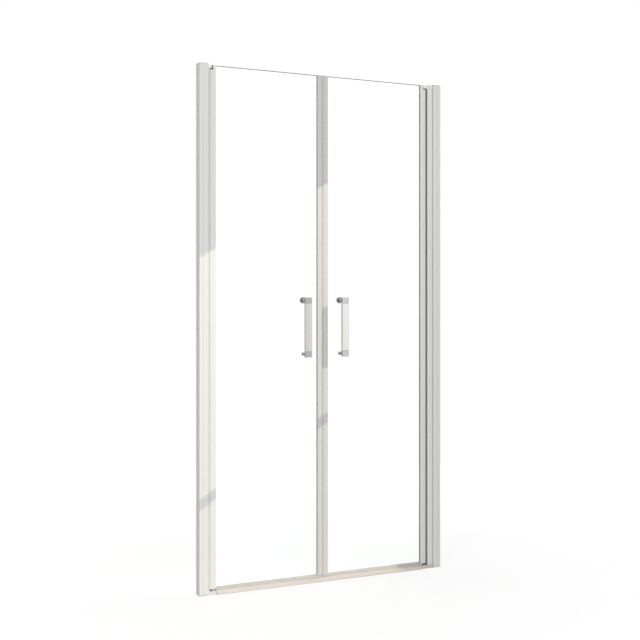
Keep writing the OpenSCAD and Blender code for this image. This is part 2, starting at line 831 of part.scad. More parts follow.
module left_inner_knob() { on_left() inner_knob(); }
module right_inner_knob() { inner_knob(); }

left_wall_profile();
right_wall_profile();
left_wall_cap();
right_wall_cap();
left_jamb_profile();
right_jamb_profile();
threshold_rail();
left_top_bracket();
right_top_bracket();
left_bottom_bracket();
right_bottom_bracket();
left_top_bush();
right_top_bush();
left_bottom_bush();
right_bottom_bush();
bracket_screws();
clamp_screws();
left_hinge_profile();
right_hinge_profile();
left_hinge_seal();
right_hinge_seal();
left_hinge_gasket();
right_hinge_gasket();
left_top_pin();
right_top_pin();
left_bottom_pin();
right_bottom_pin();
left_top_hinge_cap();
right_top_hinge_cap();
left_bottom_hinge_cap();
right_bottom_hinge_cap();
left_glass_panel();
right_glass_panel();
left_closing_gasket();
right_closing_gasket();
left_closing_profile();
right_closing_profile();
left_magnet_seal();
right_magnet_seal();
left_magnet_strip();
right_magnet_strip();
left_closing_top_cap();
right_closing_top_cap();
left_closing_bottom_cap();
right_closing_bottom_cap();
left_drip_seal();
right_drip_seal();
left_handle_bar();
right_handle_bar();
left_handle_top_block();
right_handle_top_block();
left_handle_bottom_block();
right_handle_bottom_block();
left_handle_screws();
right_handle_screws();
left_handle_washers();
right_handle_washers();
left_inner_knob();
right_inner_knob();
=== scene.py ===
"""Finishes, fittings and studio for the double pivot shower door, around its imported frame.

Lengths are in metres in the frame's own axes: X runs along the door, Z is up and -Y faces outwards.
"""

import math

import bmesh
import bpy
import numpy as np
from bpy.props import FloatProperty, FloatVectorProperty, PointerProperty
from bpy.types import Operator, Panel, PropertyGroup
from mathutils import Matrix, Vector
from mathutils.geometry import tessellate_polygon


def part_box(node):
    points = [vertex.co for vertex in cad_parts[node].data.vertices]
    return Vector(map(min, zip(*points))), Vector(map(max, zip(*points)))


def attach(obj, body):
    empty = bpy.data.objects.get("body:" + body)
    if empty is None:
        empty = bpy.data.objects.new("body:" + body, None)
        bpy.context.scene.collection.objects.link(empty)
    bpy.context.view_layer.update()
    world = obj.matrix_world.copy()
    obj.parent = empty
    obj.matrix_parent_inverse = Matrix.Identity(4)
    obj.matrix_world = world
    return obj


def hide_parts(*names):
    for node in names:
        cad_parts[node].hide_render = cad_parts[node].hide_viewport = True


bl_info = {
    "name": "Double Pivot Shower Door",
    "version": (1, 0, 0),
    "blender": (4, 5, 0),
    "location": "3D View > Sidebar > Shower Door",
    "description": "Dresses the shower door's frame with finishes, rounded fittings, seals and a studio",
    "category": "Object",
}

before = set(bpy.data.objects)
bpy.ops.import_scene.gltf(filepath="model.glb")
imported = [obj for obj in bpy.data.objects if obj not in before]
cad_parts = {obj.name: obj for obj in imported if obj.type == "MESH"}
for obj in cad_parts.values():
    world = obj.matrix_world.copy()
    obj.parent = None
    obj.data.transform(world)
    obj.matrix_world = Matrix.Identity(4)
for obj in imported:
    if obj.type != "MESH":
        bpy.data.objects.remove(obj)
MM = 0.001
SIDES = ("left", "right")

# Points round a turned piece, on a rounded corner and along a seal's fin, and sides of a screw's socket
ROUND_STEPS = 48
CORNER_STEPS = 5
FIN_STEPS = 7
HEX_SIDES = 6

# Share of a corner's radius that is left where a block's end is flat, so that no two points meet
CORNER_REST = 0.02

# Edges between faces that turn by less than this are shaded smooth
SMOOTH_ANGLE = math.radians(35)

# A screw socket's floor: where its faces start, as a share of its width, and where it lies, as a share
# of a button head's height or as a depth in a flush head
SOCKET_HUB = 0.2
SOCKET_FLOOR = 0.4
FLUSH_SOCKET_DEPTH = 1.4 * MM

# How near a face must be for painted shade to darken a seam, on the upright profiles and on the rail,
# and the rays that look
PROFILE_SEAM = 8 * MM
RAIL_SEAM = 4 * MM
SEAM_RAYS = 8

# Nodes that share a finish
CAST_METAL = ("top_bracket", "bottom_bracket")
PLASTIC = ("top_hinge_cap", "bottom_hinge_cap", "closing_top_cap", "closing_bottom_cap")
CLEAR_SEALS = ("hinge_gasket", "closing_gasket", "magnet_seal", "handle_washers")
BEARINGS = ("top_bush", "bottom_bush")
PINS = ("top_pin", "bottom_pin")

# Sockets of the Mix node when it mixes colours
MIX_FACTOR = 0
MIX_FIRST = 6
MIX_SECOND = 7
MIX_RESULT = 2

# Where the soft lamp stands, how wide it is, and the middle of the door that it points at
LAMP_PLACE = (-2.6, -3.4, 3.4)
LAMP_WIDTH = 2.4
DOOR_MIDDLE = (0, 0, 0.95)

# Direction towards the window's light, and the width in radians of its source, which softens shadows
WINDOW_DIRECTION = (0.687, -0.404, 0.45)
WINDOW_SOFTNESS = 0.006

# The wall round the window: where its plane crosses the X axis, how far it leans in X along Y, and the
# (y from, y to, z from, z to) of its parts, the last of which is the glazing bar
WINDOW_X = 1.2
WINDOW_SLANT = 0.27
WINDOW_WALL = (
    (-1.4, 0.3, 2.16, 3.2),
    (-0.45, 0.3, -0.2, 2.16),
    (-1.4, -0.45, 1.259, 1.299),
)

# The floor: its rings, the innermost one's share of the radius, how far it lies below the door's foot,
# the distance at which it starts to fade, and the share of the radius at which it has faded
FLOOR_RINGS = 12
FLOOR_HUB = 0.02
FLOOR_DROP = 0.5 * MM
FADE_START = 0.5
FADE_END = 0.8

# Upward share of a direction above which the high tones hold, and below which the low tones do
HIGH_FROM = 0.02
LOW_FROM = -0.08

# Studio that the metal mirrors: degrees from straight out of the door, tone up high and tone down low
STUDIO_TONES = (
    (-180, "#FFFFFF", "#FFFDFB"),
    (-166, "#FFFFFF", "#FFFDFB"),
    (-153, "#484848", "#484847"),
    (-110, "#484848", "#484847"),
    (-80, "#606060", "#605F5E"),
    (-60, "#A8A8A8", "#A8A6A4"),
    (-35, "#FFFFFF", "#FFFFFF"),
    (0, "#FFFFFF", "#FFFFFF"),
    (22, "#FCFCFC", "#FFFEFB"),
    (24, "#D0D0D0", "#D0CECC"),
    (25.7, "#D0D0D0", "#D0CECC"),
    (26.3, "#FFFFFF", "#FFFAF4"),
    (28.5, "#FFFFFF", "#F0E8E2"),
    (31.8, "#DCDCDC", "#8A7D75"),
    (60, "#C0C0C0", "#5A4F48"),
    (110, "#B8B8B8", "#6A5E56"),
    (150, "#E0E0E0", "#C0B8B4"),
    (180, "#FFFFFF", "#FFFDFB"),
)


def linear(code):
    """Turns an sRGB hex colour into linear red, green and blue.

    The sRGB curve is straight for the darkest tones and a power of 2.4 above them.
    """
    srgb = np.array([int(code[i : i + 2], 16) for i in (1, 3, 5)]) / 255.0
    return tuple(np.where(srgb <= 0.04045, srgb / 12.92, ((srgb + 0.055) / 1.055) ** 2.4))


# Settings


def colour(name, description, code):
    """A colour property whose default is given as a hex code."""
    return FloatVectorProperty(
        name=name, description=description, subtype="COLOR", size=3, min=0, max=1, default=linear(code)
    )


def length(name, description, default):
    """A length property in metres."""
    return FloatProperty(
        name=name, description=description, unit="LENGTH", min=0, precision=5, default=default
    )


def share(name, description, default):
    """A plain number from 0 to 1."""
    return FloatProperty(name=name, description=description, subtype="FACTOR", min=0, max=1, default=default)


class DoorFinish(PropertyGroup):
    """Colours and gloss of the door's materials."""

    aluminium: colour("Wall aluminium", "Silver anodised wall profiles and brackets", "#F8F8F7")
    # Painted light: the hinge profiles' lighter tone and the closing profiles' darker tone are painted light
    # and painted shade on the same aluminium as the wall profiles
    hinge_aluminium_lit: colour("Hinge aluminium", "Silver anodised jamb and hinge profiles", "#FCFCFB")
    closing_aluminium_shaded: colour("Closing aluminium", "Silver anodised closing profiles", "#E3E2E1")
    aluminium_rough: share("Aluminium roughness", "Gloss of the matt anodising", 0.5)
    aluminium_metal: share("Aluminium sheen", "Mirrored share of the light on matt anodising", 0.45)
    rail_aluminium: colour("Rail aluminium", "Silver anodised rail", "#F6F0EC")
    rail_rough: share("Rail roughness", "Gloss of the rail's anodising", 0.4)
    rail_metal: share("Rail sheen", "Mirrored share of the light on the rail", 0.7)
    # Depth of the painted shade in the seams of the wall, jamb and hinge profiles and of the rail
    painted_shade_depth: share("Seam shade", "How much the profiles and the rail darken in their seams", 0.95)
    satin: colour("Handle bar", "Satin brushed aluminium", "#FAF9F7")
    satin_rough: share("Handle bar roughness", "Gloss of the brushed bars", 0.09)
    chrome: colour("Chrome", "Plated end blocks and posts", "#D5D7D9")
    chrome_rough: share("Chrome roughness", "Gloss of the plating", 0.08)
    # Painted shade: the knobs' darker plating stands in for the shade on their side towards the glass
    knob: colour("Knob", "Dark plated inside knobs", "#A9A9A8")
    knob_rough: share("Knob roughness", "Gloss of the dark plating", 0.14)
    steel: colour("Steel", "Turned stainless steel", "#C9CACB")
    glass: colour("Glass", "Tint of the clear tempered glass", "#FDFFFE")
    # Painted shade: darker than a real ground edge, for the dark line along the glass's edges
    glass_edge_shade: colour("Glass edge", "Ground edges of the glass", "#2F3936")
    seal: colour("Seals", "Translucent soft strips", "#E9E7E4")
    # The bulb seals' dark grey is partly their own grey and partly painted shade for the gap between the
    # hinge profiles' noses and the jambs
    bulb_shaded: colour("Bulb seals", "Grey soft strips on the hinge profiles' noses", "#6E6E6D")
    plastic: colour("Plastic caps", "Moulded silver grey caps", "#BFC0C1")
    nylon: colour("Bushes", "Moulded black nylon", "#3A3A3A")
    magnet: colour("Magnet strip", "Dark brown bonded ferrite", "#3A322D")


class DoorFittings(PropertyGroup):
    """Edges and small sizes of the fittings that are made here."""

    bar_edge: length("Bar edge", "Radius of the handle bars' edges", 1.2 * MM)
    block_edge: length("Block edge", "Radius of the end blocks' edges", 0.9 * MM)
    post_edge: length("Post edge", "Radius of the posts' and screw caps' edges", 0.8 * MM)
    knob_edge: length("Knob edge", "Radius of the knobs' edges", 1.8 * MM)
    cap_edge: length("Cap edge", "Radius of the wall caps' edges", 0.5 * MM)
    glass_arris: length("Glass arris", "Width of the bevel on the glass's edges", 2 * MM)
    glass_hole: length("Glass hole", "Radius of the glass's holes for the handles", 5 * MM)
    socket: length("Screw socket", "Half the width of a screw's hexagon socket", 1.5 * MM)
    fin: length("Fin thickness", "Thickness of the drip seals' fins", 0.8 * MM)


class DoorStudio(PropertyGroup):
    """Camera, light and floor."""

    camera_place: FloatVectorProperty(
        name="Camera place",
        description="Where the camera stands",
        subtype="TRANSLATION",
        default=(-1.815, -3.742, 1.068),
    )
    camera_turn: FloatProperty(
        name="Camera turn",
        description="Turn of the camera from straight ahead",
        subtype="ANGLE",
        default=math.radians(-25.77),
    )
    lens: FloatProperty(name="Lens", description="Focal length", unit="CAMERA", default=62.2)
    rise: FloatProperty(
        name="Rise",
        description="Vertical shift that keeps the stiles upright",
        default=-0.037,
    )
    daylight: share("Daylight", "Strength of the even light from all sides", 0.78)
    lamp_power: FloatProperty(name="Lamp", description="Power of the soft lamp", unit="POWER", default=30.0)
    window_light: FloatProperty(
        name="Window light",
        description="Strength of the light from the right",
        default=2.1,
    )
    window_colour: colour("Window light colour", "Warm tone of the light from the right", "#FFF4D8")
    floor_radius: length("Floor radius", "Radius of the pale floor", 3.0)
    floor: colour("Floor", "Plain pale floor", "#F2F2F1")
    floor_white: FloatProperty(
        name="Floor white",
        description="White that is mixed into the floor",
        default=1.08,
    )
    floor_shade: share("Floor shade", "How much of the floor's own shading shows", 0.3)
    glass_loss: share("Glass loss", "Light lost in the glass, made up for in the white behind it", 0.1)


# Materials


def add(tree, kind, settings=None, values=None, links=None):
    """Adds one node with its settings, the values of its sockets and what feeds them."""
    made = tree.nodes.new(kind)
    for key, value in (settings or {}).items():
        setattr(made, key, value)
    for key, value in (values or {}).items():
        made.inputs[key].default_value = value
    for key, source in (links or {}).items():
        tree.links.new(source, made.inputs[key])
    return made


def empty_tree(owner):
    """Node tree of a material or world, with its first nodes taken away."""
    owner.use_nodes = True
    owner.node_tree.nodes.clear()
    return owner.node_tree


def principled(name, values):
    """A new material with one Principled shader, given as (material, node tree, shader)."""
    material = bpy.data.materials.new(name)
    tree = empty_tree(material)
    shader = add(tree, "ShaderNodeBsdfPrincipled", values=values)
    add(tree, "ShaderNodeOutputMaterial", links={"Surface": shader.outputs[0]})
    return material, tree, shader


def pattern(tree, spacing, detail=2.0, roughness=0.5):
    """Noise from 0 to 1 on Object coordinates.

    Its marks lie spacing apart, one distance for all directions or one each along X, Y and Z.
    """
    place = add(tree, "ShaderNodeTexCoord").outputs["Object"]
    scale = (np.ones(3) / spacing).tolist()
    mapping = add(tree, "ShaderNodeMapping", values={"Scale": scale}, links={"Vector": place})
    values = {"Scale": 1.0, "Detail": detail, "Roughness": roughness}
    return add(tree, "ShaderNodeTexNoise", values=values, links={"Vector": mapping.outputs[0]}).outputs[0]


def around(middle, change):
    """Low and high end of a range that reaches by a share of its middle to both sides."""
    return middle * (1 - change), middle * (1 + change)


def marked(tree, shader, marks, base, depth, rough=None, relief=None):
    """Works marks from 0 to 1 into a finish.

    They darken the base colour by up to depth, carry the roughness from rough's low to its high, and
    raise the surface by relief, a pair of strength and height.
    """
    darker = [tone * (1 - depth) for tone in base]
    colours = {MIX_FIRST: (*base, 1), MIX_SECOND: (*darker, 1)}
    mixed = add(tree, "ShaderNodeMix", {"data_type": "RGBA"}, colours, {MIX_FACTOR: marks})
    tree.links.new(mixed.outputs[MIX_RESULT], shader.inputs["Base Color"])
    if rough:
        span = {"To Min": rough[0], "To Max": rough[1]}
        gloss = add(tree, "ShaderNodeMapRange", values=span, links={"Value": marks})
        tree.links.new(gloss.outputs[0], shader.inputs["Roughness"])
    if relief:
        size = {"Strength": relief[0], "Distance": relief[1]}
        bump = add(tree, "ShaderNodeBump", values=size, links={"Height": marks})
        tree.links.new(bump.outputs[0], shader.inputs["Normal"])


def paint_shade_in_seams(tree, shader, depth, reach):
    """Painted shade: darkens the base colour by up to depth where other faces stand within reach.

    It stands in for the shade that falls in a real profile's seams, which are too narrow to show otherwise.
    """
    tone = shader.inputs["Base Color"].links[0].from_socket
    opening = add(tree, "ShaderNodeAmbientOcclusion", {"samples": SEAM_RAYS}, {"Distance": reach})
    span = {"To Min": 1 - depth, "To Max": 1.0}
    shade = add(tree, "ShaderNodeMapRange", values=span, links={"Value": opening.outputs["AO"]})
    shaded = add(
        tree,
        "ShaderNodeVectorMath",
        {"operation": "SCALE"},
        links={"Vector": tone, "Scale": shade.outputs[0]},
    )
    tree.links.new(shaded.outputs["Vector"], shader.inputs["Base Color"])


def drawn_metal(name, base, rough, along, line, run, depth, metallic=1.0, seams=None):
    """Metal with fine lengthwise lines: noise that is narrow across the piece and long along it.

    The lines lie line apart and are run long. Seams is the pair of depth and reach of its painted seam shade.
    """
    material, tree, shader = principled(name, {"Metallic": metallic})
    spacing = [run if axis == along else line for axis in "XYZ"]
    lines = pattern(tree, spacing, detail=3.0, roughness=0.6)
    marked(tree, shader, lines, base, depth, rough=around(rough, 0.15), relief=(0.06, 0.1 * MM))
    if seams:
        paint_shade_in_seams(tree, shader, *seams)
    return material


def matt_anodised(base, part, seams=None):
    """Silver anodised aluminium: extruded, etched matt and sealed.

    The eye sees a broad soft sheen with faint draw lines along the profile. Real die lines are finer
    than a tenth of a millimetre and wouldn't show, so these are drawn 4.5 mm apart.
    """
    finish = bpy.context.scene.door_finish
    # Each part's base tone is painted light: one aluminium, lighter or darker by how light falls on that
    # profile
    return drawn_metal(
        "matt_anodised_aluminium_" + part,
        base,
        finish.aluminium_rough,
        along="Z",
        line=4.5 * MM,
        run=1200 * MM,
        depth=0.2,
        metallic=finish.aluminium_metal,
        seams=seams,
    )


def bright_anodised():
    """Silver anodised aluminium of the rail: polished before anodising, so it mirrors more than the rest.

    Its draw lines are fainter and 1.6 mm apart, still coarser than real ones so that they show close up.
    """
    finish = bpy.context.scene.door_finish
    return drawn_metal(
        "bright_anodised_aluminium_rail",
        finish.rail_aluminium,
        finish.rail_rough,
        along="X",
        line=1.6 * MM,
        run=350 * MM,
        depth=0.05,
        metallic=finish.rail_metal,
        # Painted shade in the rail's seams
        seams=(finish.painted_shade_depth, RAIL_SEAM),
    )


def satin_brushed():
    """Satin brushed aluminium: linished along the bar, then anodised. It gives a broad, even sheen.

    Real brush lines are finer than a tenth of a millimetre. These are 0.9 mm apart, to show close up.
    """
    finish = bpy.context.scene.door_finish
    return drawn_metal(
        "satin_brushed_aluminium",
        finish.satin,
        finish.satin_rough,
        along="Z",
        line=0.9 * MM,
        run=60 * MM,
        depth=0.08,
    )


def machined_aluminium():
    """Machined and anodised aluminium of the brackets: even milling marks that break up the shine.

    Real ones lie a few tenths of a millimetre apart. These are 0.8 mm apart, to show close up.
    """
    finish = bpy.context.scene.door_finish
    material, tree, shader = principled("machined_anodised_aluminium", {"Metallic": 1.0})
    milling = pattern(tree, (4 * MM, 0.8 * MM, 4 * MM))
    marked(tree, shader, milling, finish.aluminium, depth=0.06, rough=(0.2, 0.3), relief=(0.08, 0.1 * MM))
    return material


def plated(name, base, rough):
    """Chrome-plated zinc casting: a mirror with the casting's slight, slow waviness under the plating."""
    material, tree, shader = principled(name, {"Metallic": 1.0, "Roughness": rough})
    waves = pattern(tree, 9 * MM, detail=1.0)
    marked(tree, shader, waves, base, depth=0.05, relief=(0.05, 0.3 * MM))
    return material


def turned_steel():
    """Turned stainless steel: fine tool marks that break up the shine, drawn 0.6 mm wide to show close up."""
    finish = bpy.context.scene.door_finish
    material, tree, shader = principled("turned_stainless_steel", {"Metallic": 1.0})
    marks = pattern(tree, 0.6 * MM)
    marked(tree, shader, marks, finish.steel, depth=0.1, rough=(0.22, 0.34))
    return material


def float_glass():
    """Clear tempered float glass: polished by the tin bath, so the faces are smooth and only just tinted.

    The tempering oven's rollers leave waves about 250 mm apart, too shallow for more than a trace of tone.
    """
    finish = bpy.context.scene.door_finish
    values = {"IOR": 1.5, "Transmission Weight": 1.0, "Roughness": 0.0}
    material, tree, shader = principled("clear_tempered_glass", values)
    waves = pattern(tree, 250 * MM, detail=0.0)
    marked(tree, shader, waves, finish.glass, depth=0.004)
    return material


def ground_edge():
    """Edges of float glass, ground with a diamond wheel: grey green and dull, with the wheel's grit.
    Their colour is painted darker than a real ground edge, as painted shade for the dark line along the
    glass's edges.

    The wheel's grains are about a tenth of a millimetre. Their marks are 0.8 mm apart, to show close up.
    """
    finish = bpy.context.scene.door_finish
    material, tree, shader = principled("ground_glass_edge", {"IOR": 1.5, "Roughness": 0.45})
    grit = pattern(tree, 0.8 * MM)
    marked(tree, shader, grit, finish.glass_edge_shade, depth=0.3, relief=(0.15, 0.05 * MM))
    return material


def soft_vinyl():
    """Translucent soft PVC, extruded: milky and slightly waxy, with faint clouds 3 mm apart."""
    finish = bpy.context.scene.door_finish
    values = {"IOR": 1.53, "Transmission Weight": 0.35, "Roughness": 0.35}
    material, tree, shader = principled("translucent_soft_pvc", values)
    clouds = pattern(tree, 3 * MM)
    marked(tree, shader, clouds, finish.seal, depth=0.06)
    return material


def moulded(name, base, rough, grit):
    """Injection-moulded plastic: a fine spark-eroded grain that breaks up the highlight.

    Real grain is about a tenth of a millimetre wide. This one's marks lie grit apart, to show close up.
    """
    material, tree, shader = principled(name, {"IOR": 1.5})
    grain = pattern(tree, grit, detail=3.0)
    marked(tree, shader, grain, base, depth=0.07, rough=around(rough, 0.1), relief=(0.1, 0.05 * MM))
    return material


def dress(kinds, material):
    """Gives a material to the CAD nodes of these kinds on both sides, or to a node named in full."""
    names = [side + "_" + kind for kind in kinds for side in SIDES]
    for name in names + list(kinds):
        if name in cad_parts:
            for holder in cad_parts[name].material_slots:
                holder.material = material


# Surfaces


def grid_faces(rings, count):
    """Quads between neighbouring closed rings of count points, ring by ring."""
    ring, step = np.meshgrid(np.arange(rings - 1), np.arange(count), indexing="ij")
    here = ring * count + step
    beside = ring * count + (step + 1) % count
    return np.stack([here, beside, beside + count, here + count], -1).reshape(-1, 4)


def closed_surface(rings):
    """Points and faces of a stack of closed rings, an array of rings x points x 3, with flat ends."""
    rows, count = rings.shape[:2]
    faces = grid_faces(rows, count).tolist()
    faces.append(list(range(count))[::-1])
    faces.append(list(range((rows - 1) * count, rows * count)))
    return rings.reshape(-1, 3), faces


def full_turn(steps):
    """Evenly spaced angles of one turn."""
    return np.arange(steps) * 2 * math.pi / steps


def rounded_rectangle(half_a, half_b, radius):
    """Loops of points on rectangles with round corners: each corner is a quarter circle.

    The halves and the radius are columns with one row for each rectangle.
    """
    quarter = np.linspace(0, math.pi / 2, CORNER_STEPS)
    angles = (np.arange(4)[:, None] * math.pi / 2 + quarter).ravel()
    sign_a = np.repeat([1, -1, -1, 1], CORNER_STEPS)
    sign_b = np.repeat([1, 1, -1, -1], CORNER_STEPS)
    a = sign_a * (half_a - radius) + radius * np.cos(angles)
    b = sign_b * (half_b - radius) + radius * np.sin(angles)
    return a, b


def rounded_block(low, high, radius):
    """Block with all edges rounded: rounded rectangles stacked upwards.

    At each end the rectangle shrinks by radius x (1 - sin t) and moves in by radius x (1 - cos t),
    with t from 0 at the flat end to a quarter turn at the side.
    """
    low, high = np.array(low), np.array(high)
    middle, half = (low + high) / 2, (high - low) / 2
    t = np.linspace(0, math.pi / 2, CORNER_STEPS)
    shrink = radius * (1 - np.sin(t))
    rise = half[2] - radius * (1 - np.cos(t))
    inset = np.concatenate([shrink, shrink[::-1]])[:, None]
    level = np.concatenate([-rise, rise[::-1]])[:, None]
    corner = np.maximum(radius - inset, radius * CORNER_REST)
    x, y = rounded_rectangle(half[0] - inset, half[1] - inset, corner)
    rings = np.stack([x, y, np.broadcast_to(level, x.shape)], -1) + middle
    return closed_surface(rings)


def turned(outline, centre, axis, flip=1):
    """Turned piece: each (radius, height, sides) of the outline becomes one ring around the axis.

    A ring's distance from the axis is its radius, or on a polygon of n sides radius / cos(w), where w
    is the angle from the middle of the nearest side. flip = -1 turns the heights the other way.
    """
    angle = full_turn(ROUND_STEPS)
    outline = np.array(outline, float)
    radius, height, sides = outline[:, :1], outline[:, 1:2], outline[:, 2:]
    slice_angle = 2 * math.pi / np.where(sides > 0, sides, 1)
    within = np.mod(angle, slice_angle) - slice_angle / 2
    reach = np.where(sides > 0, radius / np.cos(np.where(sides > 0, within, 0)), radius)
    index = "XYZ".index(axis)
    across = [i for i in range(3) if i != index]
    rings = np.zeros((len(outline), ROUND_STEPS, 3))
    rings[:, :, across[0]] = centre[across[0]] + reach * np.cos(angle)
    rings[:, :, across[1]] = centre[across[1]] + reach * np.sin(angle)
    rings[:, :, index] = centre[index] + flip * height
    return closed_surface(rings)


def carried(section, start, end):
    """Section in Y and Z carried straight along X from start to end."""
    rings = np.zeros((2, len(section), 3))
    rings[:, :, 1:] = section
    rings[0, :, 0], rings[1, :, 0] = start, end
    return closed_surface(rings)


def pane(low, high, arris, holes, hole_r):
    """Sheet of glass as (points, faces, number of faces on the two flat sides).

    The outline is a rectangle carried through four depths and drawn in by the arris at the first and
    last. Each hole is a circle carried straight through. Flat polygons with the holes left out close
    both sides.
    """
    depth = np.array([low.y, low.y + arris, high.y - arris, high.y])
    inset = np.array([arris, 0, 0, arris])
    left, right, foot, top = low.x + inset, high.x - inset, low.z + inset, high.z - inset
    outer = np.array([[left, right, right, left], [depth] * 4, [foot, foot, top, top]]).T
    rows, corners = outer.shape[:2]
    points = [outer.reshape(-1, 3)]
    edges = [grid_faces(rows, corners)]
    front = [np.arange(corners)]
    back = [np.arange(corners) + (rows - 1) * corners]
    start = rows * corners
    angle = full_turn(ROUND_STEPS)
    for x, z in holes:
        ring = np.zeros((2, ROUND_STEPS, 3))
        ring[:, :, 0] = x + hole_r * np.cos(angle)
        ring[:, :, 2] = z + hole_r * np.sin(angle)
        ring[0, :, 1], ring[1, :, 1] = low.y, high.y
        points.append(ring.reshape(-1, 3))
        edges.append(grid_faces(2, ROUND_STEPS) + start)
        front.append(start + np.arange(ROUND_STEPS))
        back.append(start + ROUND_STEPS + np.arange(ROUND_STEPS))
        start += 2 * ROUND_STEPS
    points = np.concatenate(points)
    flats = []
    for loops in (front, back):
        triangles = np.array(tessellate_polygon([points[loop] for loop in loops]))
        flats.extend(np.concatenate(loops)[triangles].tolist())
    return points, flats + np.concatenate(edges).tolist(), len(flats)


def arc(radius, start, stop, corner):
    """Part of a turned piece's outline: a circle's points round a corner's centre, in degrees."""
    angles = np.radians(np.linspace(start, stop, CORNER_STEPS))
    across = corner[0] + radius * np.cos(angles)
    height = corner[1] + radius * np.sin(angles)
    return np.stack([across, height, np.zeros(CORNER_STEPS)], -1)


def socket_head(head_r, head_t, socket, edge, shank_r, reach):
    """Outline of a button-headed screw with a hexagon socket: socket floor, mouth, head and shank."""
    floor = head_t * SOCKET_FLOOR
    return [
        (socket * SOCKET_HUB, floor, HEX_SIDES),
        (socket, floor, HEX_SIDES),
        (socket, head_t, HEX_SIDES),
        *arc(edge, 90, 0, (head_r - edge, head_t - edge)),
        (head_r, 0, 0),
        (shank_r, 0, 0),
        (shank_r, -reach, 0),
    ]


def flush_head(shank_r, socket, reach):
    """Outline of a countersunk screw with a hexagon socket, its flat at height 0."""
    floor = -FLUSH_SOCKET_DEPTH
    return [
        (socket * SOCKET_HUB, floor, HEX_SIDES),
        (socket, floor, HEX_SIDES),
        (socket, 0, HEX_SIDES),
        (2 * shank_r, 0, 0),
        (shank_r, -shank_r, 0),
        (shank_r, -reach, 0),
    ]


def outward(mesh):
    """Turns every face of closed surfaces outwards."""
    work = bmesh.new()
    work.from_mesh(mesh)
    bmesh.ops.recalc_face_normals(work, faces=work.faces)
    work.to_mesh(mesh)
    work.free()


def placed(name, data):
    """A new object in the scene that holds a mesh, a light or a camera."""
    made = bpy.data.objects.new(name, data)
    bpy.context.scene.collection.objects.link(made)
    return made


def meshed(name, points, faces, material):
    """A new object in the scene with a mesh of these points and faces in one material."""
    mesh = bpy.data.meshes.new(name)
    mesh.from_pydata(points, [], faces)
    mesh.materials.append(material)
    return placed(name, mesh)


def piece(name, surfaces, material, body, replaces):
    """Joins surfaces into one mesh object with outward faces that rides on a body for its CAD nodes."""
    points, faces, offset = [], [], 0
    for surface_points, surface_faces in surfaces:
        points.extend(surface_points.tolist())
        faces.extend([[i + offset for i in face] for face in surface_faces])
        offset += len(surface_points)
    made = meshed(name, points, faces, material)
    outward(made.data)
    made.data.shade_smooth()
    made.data.set_sharp_from_angle(angle=SMOOTH_ANGLE)
    made.modifiers.new("flat_faces_stay_flat", "WEIGHTED_NORMAL").keep_sharp = True
    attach(made, body)
    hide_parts(*replaces)
    return made


# Steps that make the door's finish, its pieces and its studio


class DOOR_OT_metal(Operator):
    """Anodised aluminium on the profiles, the rail and the brackets, steel on the pins"""

    bl_idname = "shower_door.metal"
    bl_label = "Finish Metal"

    def execute(self, context):
        finish = context.scene.door_finish
        # Painted shade in the seams of the wall, jamb and hinge profiles
        seams = (finish.painted_shade_depth, PROFILE_SEAM)
        dress(("wall_profile",), matt_anodised(finish.aluminium, "wall", seams))
        # The hinge profiles get painted light and the closing profiles painted shade in their base tones
        dress(("jamb_profile", "hinge_profile"), matt_anodised(finish.hinge_aluminium_lit, "hinge", seams))
        dress(("closing_profile",), matt_anodised(finish.closing_aluminium_shaded, "closing"))
        dress(("threshold_rail",), bright_anodised())
        dress(CAST_METAL, machined_aluminium())
        dress(PINS, turned_steel())
        return {"FINISHED"}


class DOOR_OT_glass(Operator):
    """Clear tempered glass panes with ground edges, bored for the handles"""

    bl_idname = "shower_door.glass"
    bl_label = "Finish Glass"

    def execute(self, context):
        sizes = context.scene.door_fittings
        glass, edge = float_glass(), ground_edge()
        for side in SIDES:
            node = side + "_glass_panel"
            holes = []
            for block in ("_handle_top_block", "_handle_bottom_block"):
                low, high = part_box(side + block)
                holes.append(((low.x + high.x) / 2, (low.z + high.z) / 2))
            points, faces, flats = pane(*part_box(node), sizes.glass_arris, holes, sizes.glass_hole)
            name, body = side + "_glass_pane", side + "_leaf"
            made = piece(name, [(points, faces)], glass, body, [node])
            made.data.materials.append(edge)
            # The flat sides stay glass, and all other faces are ground edge
            index = np.ones(len(made.data.polygons), dtype=np.int32)
            index[:flats] = 0
            made.data.polygons.foreach_set("material_index", index)
            made.data.shade_flat()
            made.visible_shadow = False
        return {"FINISHED"}


class DOOR_OT_plastics(Operator):
    """Soft seals, moulded caps, bushes and magnet strips, with rounded caps on the wall profiles"""

    bl_idname = "shower_door.plastics"
    bl_label = "Finish Plastics"

    def execute(self, context):
        finish, sizes = context.scene.door_finish, context.scene.door_fittings
        grey = moulded("moulded_abs_silver_grey", finish.plastic, rough=0.42, grit=0.5 * MM)
        # Dark grey that is partly painted shade in the gap by the jambs
        bulb_shaded = moulded("grey_soft_pvc", finish.bulb_shaded, rough=0.5, grit=0.6 * MM)
        nylon = moulded("moulded_black_nylon", finish.nylon, rough=0.45, grit=0.4 * MM)
        ferrite = moulded("bonded_ferrite_strip", finish.magnet, rough=0.6, grit=0.3 * MM)
        dress(PLASTIC, grey)
        dress(CLEAR_SEALS, soft_vinyl())
        dress(("hinge_seal",), bulb_shaded)
        dress(BEARINGS, nylon)
        dress(("magnet_strip",), ferrite)
        for side in SIDES:
            node = side + "_wall_cap"
            block = rounded_block(*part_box(node), sizes.cap_edge)
            piece(side + "_wall_end_cap", [block], grey, side + "_wall", [node])
        return {"FINISHED"}


